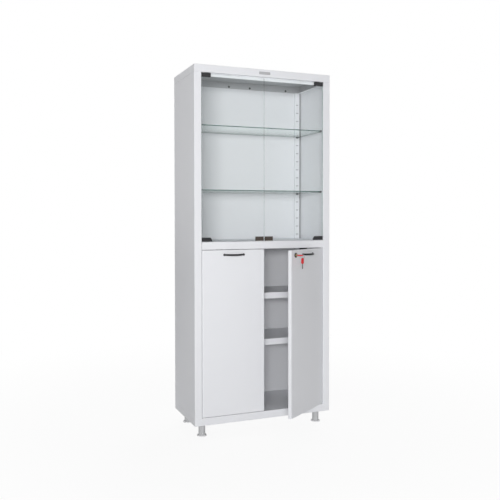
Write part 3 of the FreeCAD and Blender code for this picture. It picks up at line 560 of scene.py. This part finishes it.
def finish_piece(piece, body, replaced=()):
    """Let a piece ride on a body and stand for the nodes that it replaces."""
    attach(piece, body)
    if replaced:
        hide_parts(*replaced)


def link_object(name, data):
    """New object for a mesh, a light or a camera, in the scene."""
    piece = bpy.data.objects.new(name, data)
    bpy.context.scene.collection.objects.link(piece)
    return piece


def smooth_mesh(mesh):
    """Shade a mesh smooth, but for its creases."""
    mesh.shade_smooth()
    mesh.set_sharp_from_angle(angle=CREASE)


class Recipe(Tree):
    """A Geometry Nodes tree that sets one form at each marked place, turned along its axis."""

    def __init__(self, name, lengths):
        super().__init__(bpy.data.node_groups.new(name, "GeometryNodeTree"))
        self.lengths = lengths
        self.identifiers = {}
        face = self.tree.interface
        face.new_socket("Geometry", in_out="OUTPUT", socket_type="NodeSocketGeometry")
        face.new_socket("Geometry", in_out="INPUT", socket_type="NodeSocketGeometry")
        for label, length in lengths.items():
            socket = face.new_socket(label, in_out="INPUT", socket_type="NodeSocketFloat")
            socket.subtype = "DISTANCE"
            socket.default_value = length
            self.identifiers[label] = socket.identifier
        self.identifiers["Finish"] = face.new_socket(
            "Finish", in_out="INPUT", socket_type="NodeSocketMaterial"
        ).identifier
        self.entry = self.tree.nodes.new("NodeGroupInput")
        self.exit = self.tree.nodes.new("NodeGroupOutput")

    def given(self, label):
        """One of the tree's named inputs."""
        return Value(self, self.entry.outputs[label])

    def vector(self, x=0.0, y=0.0, z=0.0):
        """Vector of three numbers or values."""
        return self.node("ShaderNodeCombineXYZ", sockets={"X": x, "Y": y, "Z": z})

    def moved(self, form, offset):
        """Form moved by an offset that may change over it."""
        return self.node("GeometryNodeSetPosition", sockets={"Geometry": form, "Offset": offset})

    def cylinder(self, sides, rings, radius, depth):
        """Closed cylinder about the axis, centred on the place."""
        sockets = {"Vertices": sides, "Fill Segments": rings, "Radius": radius, "Depth": depth}
        return self.node("GeometryNodeMeshCylinder", {"fill_type": "TRIANGLE_FAN"}, sockets)

    def circle(self, points, radius):
        """Round curve about the axis."""
        sockets = {"Resolution": points, "Radius": radius}
        return self.node("GeometryNodeCurvePrimitiveCircle", sockets=sockets)

    def crowned_head(self, radius, height, crown, pit_radius=None):
        """Round head that stands on the place, its top a crown that takes a share of the height."""
        wall = height * (1.0 - crown)
        body = self.cylinder(HEAD_SIDES, HEAD_RINGS, radius, wall)
        x, y, z = self.parts(self.node("GeometryNodeInputPosition"))
        outness = (x * x + y * y) / (radius * radius)
        lift = height * crown * (1.0 - outness)
        if pit_radius:
            share = pit_radius / radius
            lift = lift - height * PIT_DEPTH * (1.0 - outness.above(share * share))
        return self.moved(body, self.vector(z=wall / 2.0 + z.above(0.0) * lift))

    def cut(self, form, tools):
        """Form with other forms cut out of it."""
        settings = {"operation": "DIFFERENCE", "solver": "EXACT"}
        return self.node("GeometryNodeMeshBoolean", settings, {"Mesh 1": form, "Mesh 2": tools})

    def end_with(self, form):
        """Set the form out at the places and close the tree."""
        settings = {"data_type": "FLOAT_VECTOR"}
        axis = self.node("GeometryNodeInputNamedAttribute", settings, {"Name": "axis"})
        turn = self.node("FunctionNodeAlignRotationToVector", {"axis": "Z"}, {"Vector": axis})
        sockets = {"Points": self.given("Geometry"), "Instance": form, "Rotation": turn}
        placed = self.node("GeometryNodeInstanceOnPoints", sockets=sockets)
        real = self.node("GeometryNodeRealizeInstances", sockets={"Geometry": placed})
        sockets = {"Geometry": real, "Material": self.given("Finish")}
        coated = self.node("GeometryNodeSetMaterial", sockets=sockets)
        self.feed(self.exit.inputs["Geometry"], coated)

    def grow(self, name, places, axis, material):
        """Piece with the form at every place, as one plain mesh."""
        marks = bpy.data.meshes.new(name)
        marks.from_pydata(places, [], [])
        for mark in marks.attributes.new("axis", "FLOAT_VECTOR", "POINT").data:
            mark.vector = axis
        piece = link_object(name, marks)
        modifier = piece.modifiers.new(name, "NODES")
        modifier.node_group = self.tree
        for label, length in self.lengths.items():
            modifier[self.identifiers[label]] = length
        modifier[self.identifiers["Finish"]] = material
        graph = bpy.context.evaluated_depsgraph_get()
        grown = bpy.data.meshes.new_from_object(piece.evaluated_get(graph))
        piece.modifiers.clear()
        piece.data = grown
        smooth_mesh(grown)
        return piece


def hollow_box(node):
    """Inside of a folded sheet, where the coat gets painted shade: the deck, the roof above the walls or the rear
    post of a side.
    """
    low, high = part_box(node)
    if node == "top_cap":
        low.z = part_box("side_panel_left")[1].z
    elif node in sided("side_panel"):
        low.y = high.y - sizes().post_depth
    skin = Vector((SKIN, SKIN, SKIN))
    return low + skin, high - skin


class CABINET_OT_coat_sheets(bpy.types.Operator):
    """Powder coat the carcass, the steel shelves and the steel doors, with painted shade in the hollows of the
    roof, the deck and the posts
    """

    bl_idname = "cabinet.coat_sheets"
    bl_label = "Coat Sheets"

    def execute(self, context):
        colours = finishes()
        coat = powder_coat("white_powder_coat", colours.coat)
        sheets = ["bottom_pan", "back_panel", "steel_shelf_lower", "steel_shelf_upper"]
        finish_nodes(coat, sheets + sided("steel_door", "door_stiffener"))
        # The roof, the deck and the sides' rear posts get painted shade in their hollows
        for node in ["top_cap", "middle_deck"] + sided("side_panel"):
            hollow_shade = colours.deck_shade if node == "middle_deck" else colours.roof_and_post_shade
            coat = powder_coat(node + "_powder_coat", colours.coat, hollow_box(node), hollow_shade)
            finish_nodes(coat, [node])
        return {"FINISHED"}


class CABINET_OT_glaze(bpy.types.Operator):
    """Glaze the upper doors and the glass shelves"""

    bl_idname = "cabinet.glaze"
    bl_label = "Glaze"

    def execute(self, context):
        colours = finishes()
        door_glass = sheet_glass(
            "door_glass", colours.pane_tint, colours.pane_edge, thin_axis="Y", seam=0.3
        )
        shelf_glass = sheet_glass(
            "shelf_glass", colours.shelf_tint, colours.shelf_edge, thin_axis="Z", seam=RIM_STRENGTH
        )
        finish_nodes(door_glass, sided("glass_pane"))
        finish_nodes(shelf_glass, ["glass_shelf_lower", "glass_shelf_upper"])
        return {"FINISHED"}


class CABINET_OT_finish_mouldings(bpy.types.Operator):
    """Finish the moulded handles, key heads, bushes and catches"""

    bl_idname = "cabinet.finish_mouldings"
    bl_label = "Finish Mouldings"

    def execute(self, context):
        colours = finishes()
        black = moulded("gloss_black_moulding", colours.handle_black, roughness=0.14, coat=0.4)
        finish_nodes(black, sided("handle") + ["bolt_case", "steel_door_catches"])
        red = moulded("red_moulding", colours.key_red, roughness=0.28)
        finish_nodes(red, ["key_head", "spare_key_head"])
        nylon = moulded("white_nylon", colours.nylon, roughness=0.42)
        finish_nodes(nylon, ["glass_door_bushes", "steel_door_bushes", "glass_door_catches"])
        return {"FINISHED"}


class CABINET_OT_finish_metals(bpy.types.Operator):
    """Finish the clamps, strike plates, pins, lock, hooks and feet"""

    bl_idname = "cabinet.finish_metals"
    bl_label = "Finish Metals"

    def execute(self, context):
        colours = finishes()
        black = moulded("satin_black_coat", colours.clamp_black, roughness=0.34)
        finish_nodes(black, sided("top_clamp", "bottom_clamp") + ["lock_barrel"])
        finish_nodes(zinc_plate(), sided("glass_pivots", "door_pins"))
        finish_nodes(zinc_plate(), ["slide_bolt", "lock_nut", "lock_cam", "key_ring"])
        silver = brushed(
            "satin_silver_plate", colours.plate_silver, roughness=0.22, lines=(30.0, 900.0, 900.0)
        )
        finish_nodes(silver, ["name_plate"])
        hook = brushed("phosphate_grey", colours.hook_grey, roughness=0.45, lines=even(300.0))
        finish_nodes(hook, ["glass_shelf_hooks", "steel_shelf_hooks"])
        bronze = brushed(
            "bronze_plate", colours.plate_bronze, roughness=0.42, lines=(40.0, 900.0, 900.0)
        )
        finish_nodes(bronze, sided("strike_plate"))
        brass = brushed("turned_brass", colours.brass, roughness=0.26, lines=even(500.0))
        finish_nodes(brass, ["lock_plug"])
        magnet = brushed("magnet_grey", colours.magnet_grey, roughness=0.5, lines=even(400.0))
        finish_nodes(magnet, ["catch_magnets"])
        tube = moulded("satin_foot_grey", colours.foot_grey, roughness=0.46)
        finish_nodes(tube, ["foot_tubes"])
        cup = moulded("pale_foot_grey", colours.base_grey, roughness=0.46)
        finish_nodes(cup, ["foot_base_" + corner for corner in CORNERS])
        return {"FINISHED"}


class CABINET_OT_set_rivets(bpy.types.Operator):
    """Set domed blind rivets, each with its pin's pit, up the back"""

    bl_idname = "cabinet.set_rivets"
    bl_label = "Set Rivets"

    def execute(self, context):
        own = sizes()
        lengths = {
            "Radius": own.rivet_radius,
            "Height": own.rivet_height,
            "Pit radius": own.rivet_pit,
        }
        recipe = Recipe("rivet_heads", lengths)
        radius, height, pit = [recipe.given(label) for label in lengths]
        recipe.end_with(recipe.crowned_head(radius, height, crown=0.7, pit_radius=pit))
        places = head_seats("back_rivets", REARWARD, own.rivet_height)
        piece = recipe.grow("domed_rivets", places, REARWARD, zinc_plate())
        finish_piece(piece, "carcass", ["back_rivets"])
        return {"FINISHED"}


class CABINET_OT_drive_clamp_screws(bpy.types.Operator):
    """Drive socket screws into the backs of the glass clamps"""

    bl_idname = "cabinet.drive_clamp_screws"
    bl_label = "Drive Clamp Screws"

    def execute(self, context):
        own = sizes()
        lengths = {
            "Radius": own.socket_radius,
            "Height": own.socket_height,
            "Socket radius": own.socket_width,
        }
        recipe = Recipe("socket_screws", lengths)
        radius, height, socket = [recipe.given(label) for label in lengths]
        head = recipe.crowned_head(radius, height, crown=0.2)
        hexagon = recipe.cylinder(sides=6, rings=1, radius=socket, depth=height)
        hexagon = recipe.moved(hexagon, recipe.vector(z=height * SOCKET_MIDDLE))
        recipe.end_with(recipe.cut(head, hexagon))
        for side in SIDES:
            node = "clamp_screws_" + side
            places = head_seats(node, REARWARD, own.socket_height)
            piece = recipe.grow("socket_screws_" + side, places, REARWARD, zinc_plate())
            finish_piece(piece, "glass_door_" + side, [node])
        return {"FINISHED"}


class CABINET_OT_drive_pan_screws(bpy.types.Operator):
    """Drive cross-recessed pan screws behind the handles and into the lock's cam"""

    bl_idname = "cabinet.drive_pan_screws"
    bl_label = "Drive Pan Screws"

    def execute(self, context):
        own = sizes()
        lengths = {
            "Radius": own.pan_radius,
            "Height": own.pan_height,
            "Recess width": own.recess_width,
            "Recess reach": own.recess_reach,
        }
        recipe = Recipe("pan_screws", lengths)
        radius, height, width, reach = [recipe.given(label) for label in lengths]
        head = recipe.crowned_head(radius, height, crown=0.55)
        blades = []
        for size in (recipe.vector(reach, width, height), recipe.vector(width, reach, height)):
            blade = recipe.node("GeometryNodeMeshCube", sockets={"Size": size})
            blades.append(recipe.moved(blade, recipe.vector(z=height)))
        recipe.end_with(recipe.cut(head, blades))
        inward = (door_swing().to_3x3() @ REARWARD).normalized()
        groups = [
            ("handle_screws_left", REARWARD, "steel_door_left"),
            ("handle_screws_right", inward, "steel_door_right"),
            ("cam_screw", inward, "lock_plug"),
        ]
        for node, outward, body in groups:
            places = head_seats(node, outward, own.pan_height)
            piece = recipe.grow("pan_" + node, places, outward, zinc_plate())
            finish_piece(piece, body, [node])
        return {"FINISHED"}


class CABINET_OT_cap_wall_holes(bpy.types.Operator):
    """Press black caps into the wall holes from inside"""

    bl_idname = "cabinet.cap_wall_holes"
    bl_label = "Cap Wall Holes"

    def execute(self, context):
        own = sizes()
        low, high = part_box("back_panel")
        mouth = low.y - (high.y - low.y)
        lengths = {
            "Radius": own.cap_radius,
            "Height": own.cap_height,
            "Stem radius": own.stem_radius,
            "Stem length": high.y - mouth,
        }
        recipe = Recipe("hole_caps", lengths)
        radius, height, stem, reach = [recipe.given(label) for label in lengths]
        peg = recipe.cylinder(HEAD_SIDES, PEG_RINGS, stem, reach)
        peg = recipe.moved(peg, recipe.vector(z=reach / -2.0))
        head = recipe.crowned_head(radius, height, crown=0.6)
        recipe.end_with(recipe.node("GeometryNodeJoinGeometry", sockets={"Geometry": [head, peg]}))
        places = []
        for mount in frame["record"]["mounts"]:
            if mount["name"].startswith("wall_holes"):
                half = mount["dims"]["spacing_x_mm"] * MILLIMETRE / 2
                places += [(x, mouth, mount["pos_m"][2]) for x in (-half, half)]
        black = moulded("black_cap", finishes().cap_black, roughness=0.4)
        piece = recipe.grow("wall_hole_caps", places, FORWARD, black)
        finish_piece(piece, "carcass")
        return {"FINISHED"}


class CABINET_OT_weld_feet(bpy.types.Operator):
    """Run a rippled weld bead round the top of each foot's tube"""

    bl_idname = "cabinet.weld_feet"
    bl_label = "Weld Feet"

    def execute(self, context):
        own = sizes()
        lengths = {"Tube radius": own.tube_radius, "Bead radius": own.weld_radius}
        recipe = Recipe("weld_beads", lengths)
        tube, bead = [recipe.given(label) for label in lengths]
        curves = {
            "Curve": recipe.circle(BEAD_STEPS, tube),
            "Profile Curve": recipe.circle(BEAD_SIDES, bead),
        }
        hoop = recipe.node("GeometryNodeCurveToMesh", sockets=curves)
        place = recipe.node("GeometryNodeInputPosition")
        angle = recipe.maths("ARCTAN2", recipe.part(place, "Y"), recipe.part(place, "X"))
        ripple = recipe.maths("SINE", angle * BEAD_RIPPLES)
        recipe.end_with(recipe.moved(hoop, recipe.vector(z=ripple * bead * RIPPLE_HEIGHT)))
        places = []
        for points in islands("foot_tubes"):
            middle = [sum(span(points, axis)) / 2 for axis in (RIGHTWARD, REARWARD)]
            places.append((*middle, -span(points, DOWNWARD)[0] - own.plate_thickness))
        grey = shade(finishes().foot_grey, WELD_SHADE)
        metal = brushed("weld_grey", grey, roughness=0.4, lines=even(300.0))
        piece = recipe.grow("weld_beads", places, DOWNWARD, metal)
        finish_piece(piece, "carcass")
        return {"FINISHED"}


def closed_box(name):
    """Lowest and highest corners of a piece of the right steel door, with the door shut."""
    back = door_swing().inverted()
    points = [back @ vert.co for vert in frame["nodes"][name].data.vertices]
    spans = [span(points, axis) for axis in (RIGHTWARD, REARWARD, -DOWNWARD)]
    return Vector([low for low, high in spans]), Vector([high for low, high in spans])


def cut_edge(reach, length, cut):
    """How far a key's cut edge stands in, at one reach along its row of notches."""
    phase = reach / length * len(NOTCHES)
    depth = NOTCHES[min(int(phase), len(NOTCHES) - 1)]
    return cut * depth * min(1.0, NOTCH_STEEPNESS * math.sin(math.pi * (phase % 1.0)))


def blade_outline(reach, length, width, depth, own):
    """Points round a key's blade at one reach along it: across its width, then its thickness."""
    to_tip = length - reach
    point = max(0.0, 1.0 - to_tip / (width * TIP_LENGTH)) * width * TIP_NARROWING
    left, right = -width / 2 + point, width / 2 - point
    if reach > own.key_tang and not point:
        right -= cut_edge(reach - own.key_tang, length - own.key_tang, own.key_cut)
    half = depth / 2
    grooved = to_tip < length - own.key_tang * GROOVE_START and not point
    sunk = half - own.key_groove if grooved else half
    lanes = [max(left, width * share) for share in GROOVE_LANES]
    upper = [(left, half), *zip(lanes, (half, sunk, sunk, half)), (right, half)]
    return upper + [(u, -v) for u, v in reversed(upper)]


def blade_mesh(name, box, along, across, own):
    """Key blade that fills a box: grooved on both faces, notched on one edge and pointed."""
    low, high = box
    thick = along.cross(across)
    extent = high - low
    length, width, depth = [abs(extent.dot(way)) for way in (along, across, thick)]
    start = (low + high) / 2 - along * length / 2
    work = bmesh.new()
    rings = []
    for step in range(BLADE_STEPS + 1):
        reach = length * step / BLADE_STEPS
        outline = blade_outline(reach, length, width, depth, own)
        places = [start + along * reach + across * u + thick * v for u, v in outline]
        rings.append([work.verts.new(place) for place in places])
    for first, second in zip(rings, rings[1:]):
        for one in range(len(first)):
            two = (one + 1) % len(first)
            work.faces.new((first[one], first[two], second[two], second[one]))
    work.faces.new(rings[0][::-1])
    work.faces.new(rings[-1])
    bmesh.ops.recalc_face_normals(work, faces=work.faces)
    work.transform(door_swing())
    mesh = bpy.data.meshes.new(name)
    work.to_mesh(mesh)
    work.free()
    smooth_mesh(mesh)
    return mesh


class CABINET_OT_cut_keys(bpy.types.Operator):
    """Cut the two keys, with grooved faces and a notched edge"""

    bl_idname = "cabinet.cut_keys"
    bl_label = "Cut Keys"

    def execute(self, context):
        keys = [("key_blade", "key", REARWARD), ("spare_key_blade", "spare_key", DOWNWARD)]
        steel = brushed("key_steel", finishes().key_steel, roughness=0.30, lines=even(500.0))
        for node, body, along in keys:
            mesh = blade_mesh("cut_" + node, closed_box(node), along, RIGHTWARD, sizes())
            mesh.materials.append(steel)
            finish_piece(link_object("cut_" + node, mesh), body, [node])
        return {"FINISHED"}


def studio_floor(setup):
    """Wide pale floor that fades to white away from the cabinet."""
    finish = Finish("studio_floor")
    place = finish.place()
    drift = finish.noise(place, scale=0.6)
    finish.set(Base_Color=finish.toned(drift, setup.floor_colour, dark=0.99, light=1.0))
    finish.set(Roughness=finish.varied((drift, 0.1), base=0.7))
    away = finish.node("ShaderNodeVectorMath", {"operation": "LENGTH"}, {0: place}, "Value")
    seen = finish.node("ShaderNodeLightPath", output="Is Camera Ray")
    glow = finish.node("ShaderNodeEmission", sockets={"Color": opaque(WHITE), "Strength": 1.0})
    fade = finish.between(away, FADE_START, FADE_END)
    lift = seen * (setup.floor_lift + fade * (1.0 - setup.floor_lift))
    finish.show(finish.mix_shaders(lift, finish.surface(), glow))
    mesh = bpy.data.meshes.new("studio_floor")
    corners = [(x * FLOOR_HALF, y * FLOOR_HALF, 0) for x, y in ((-1, -1), (1, -1), (1, 1), (-1, 1))]
    mesh.from_pydata(corners, [], [(0, 1, 2, 3)])
    mesh.materials.append(finish.material)
    link_object("studio_floor", mesh)


def studio_air(setup):
    """Even light all round, in front of a white background that bright surfaces mirror."""
    world = bpy.data.worlds.new("studio_air")
    world.use_nodes = True
    air = Tree(world.node_tree)
    scattered = air.node("ShaderNodeLightPath", output="Is Diffuse Ray")
    sockets = {FACTOR: scattered, NUMBER_A: 1.0, NUMBER_B: setup.air}
    strength = air.node("ShaderNodeMix", sockets=sockets, output=MIXED_NUMBER)
    glow = world.node_tree.nodes["Background"]
    air.feed(glow.inputs["Color"], opaque(WHITE))
    air.feed(glow.inputs["Strength"], strength)
    bpy.context.scene.world = world


def studio_camera(setup):
    """Camera at the picture's viewpoint."""
    camera = link_object("camera", bpy.data.cameras.new("camera"))
    level, drop = math.cos(setup.tilt), math.sin(setup.tilt)
    ahead = Vector((math.sin(setup.turn) * level, math.cos(setup.turn) * level, -drop))
    across = Vector((math.cos(setup.turn), -math.sin(setup.turn), 0))
    up = across.cross(ahead)
    axes = Matrix((across, up, -ahead)).transposed().to_4x4()
    roll = Matrix.Rotation(setup.roll, 4, "Z")
    camera.matrix_world = Matrix.Translation(setup.camera_place) @ axes @ roll
    camera.data.sensor_width = SENSOR_WIDTH
    camera.data.lens = setup.lens
    camera.data.shift_x = setup.shift_across
    camera.data.shift_y = setup.shift_up
    bpy.context.scene.camera = camera


def broad_light(name, place, target, size, power):
    """Large soft panel light aimed at a point, which the glass doesn't mirror."""
    lamp = bpy.data.lights.new(name, "AREA")
    lamp.shape = "RECTANGLE"
    lamp.size, lamp.size_y = size
    lamp.energy = power
    panel = link_object(name, lamp)
    panel.visible_glossy = False
    aim = (Vector(target) - Vector(place)).to_track_quat("-Z", "Y")
    panel.matrix_world = Matrix.Translation(place) @ aim.to_matrix().to_4x4()


class CABINET_OT_set_stage(bpy.types.Operator):
    """Set the pale floor, the soft light and the camera"""

    bl_idname = "cabinet.set_stage"
    bl_label = "Set Stage"

    def execute(self, context):
        setup = context.scene.cabinet_studio
        studio_floor(setup)
        studio_air(setup)
        studio_camera(setup)
        for name, place, target, size, power in LIGHTS:
            broad_light(name, place, target, size, getattr(setup, power))
        context.scene.view_settings.view_transform = "Standard"
        return {"FINISHED"}


class VIEW3D_PT_medical_cabinet(bpy.types.Panel):
    """Buttons and settings for dressing the cabinet"""

    bl_label = "Medical Cabinet"
    bl_space_type = "VIEW_3D"
    bl_region_type = "UI"
    bl_category = "Cabinet"

    def draw(self, context):
        scene = context.scene
        for step in STEPS:
            self.layout.operator(step.bl_idname)
        for group in (scene.cabinet_finishes, scene.cabinet_fittings, scene.cabinet_studio):
            for key in group.bl_rna.properties.keys():
                if key not in ("rna_type", "name"):
                    self.layout.prop(group, key)


STEPS = (
    CABINET_OT_coat_sheets,
    CABINET_OT_glaze,
    CABINET_OT_finish_mouldings,
    CABINET_OT_finish_metals,
    CABINET_OT_set_rivets,
    CABINET_OT_drive_clamp_screws,
    CABINET_OT_drive_pan_screws,
    CABINET_OT_cap_wall_holes,
    CABINET_OT_weld_feet,
    CABINET_OT_cut_keys,
    CABINET_OT_set_stage,
)
CLASSES = (CabinetFinishes, FittingSizes, StudioSetup, *STEPS, VIEW3D_PT_medical_cabinet)


def register():
    """Register the classes and hang their settings on the scene."""
    for one in CLASSES:
        bpy.utils.register_class(one)
    bpy.types.Scene.cabinet_finishes = PointerProperty(type=CabinetFinishes)
    bpy.types.Scene.cabinet_fittings = PointerProperty(type=FittingSizes)
    bpy.types.Scene.cabinet_studio = PointerProperty(type=StudioSetup)


def unregister():
    """Take the settings off the scene and unregister the classes."""
    del bpy.types.Scene.cabinet_studio
    del bpy.types.Scene.cabinet_fittings
    del bpy.types.Scene.cabinet_finishes
    for one in reversed(CLASSES):
        bpy.utils.unregister_class(one)


def main():
    """Dress the cabinet step by step."""
    register()
    for step in STEPS:
        group, name = step.bl_idname.split(".")
        getattr(getattr(bpy.ops, group), name)()


if __name__ == "__main__":
    main()
